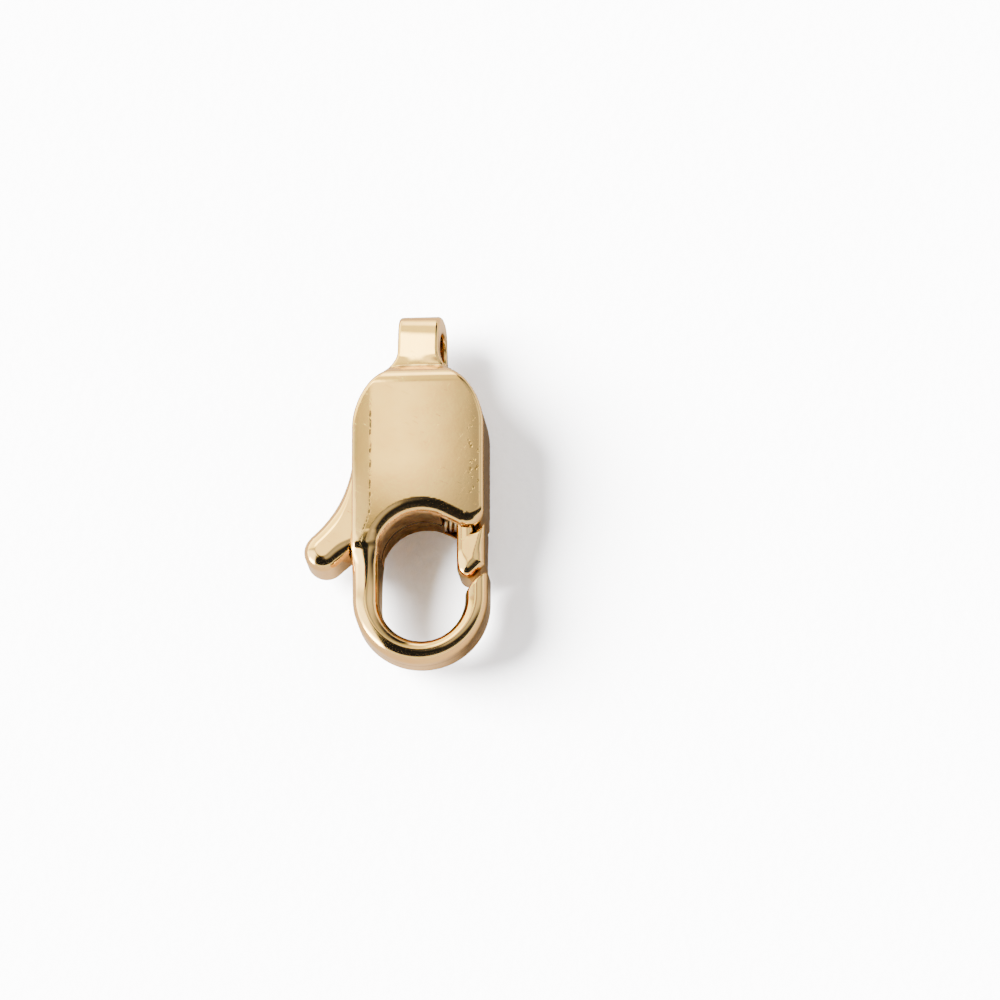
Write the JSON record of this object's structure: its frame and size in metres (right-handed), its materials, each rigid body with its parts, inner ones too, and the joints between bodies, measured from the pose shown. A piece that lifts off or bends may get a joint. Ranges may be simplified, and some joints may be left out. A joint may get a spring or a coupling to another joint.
{
  "type": "flat lobster clasp",
  "caption": "Flat folded lobster clasp with a strip eye at one end, an oblong hook at the other and a sprung lever whose gate closes the hook.",
  "frame": {"origin": "centre of the hole through the bail eye, on the middle plane between the two plates", "axes": "+X to the right seen from the front, along the eye's hole; +Y from the hook to the bail, along the clasp; +Z out of the front plate"},
  "size_m": [0.0061, 0.012, 0.003],
  "materials": {
    "gold_plate": "pale gold plate, polished",
    "gold_plate_lever": "pale gold plate, polished",
    "brass_pin": "bare drawn wire",
    "spring_wire": "drawn spring wire"
  },
  "bodies": {
    "housing": {"housing": "gold_plate", "pivot_pin": "brass_pin", "spring": "spring_wire"},
    "lever": {"lever": "gold_plate_lever"}
  },
  "joints": [
    {"name": "lever_pivot", "type": "hinge", "parent": "housing", "child": "lever", "pos_m": [0.00119, -0.00495, 0], "axis": [0, 0, -1], "range_deg": [0, 22], "stiffness_Nm_per_rad": 0.004, "springref_deg": -20.05, "deforming": ["spring"]}
  ]
}
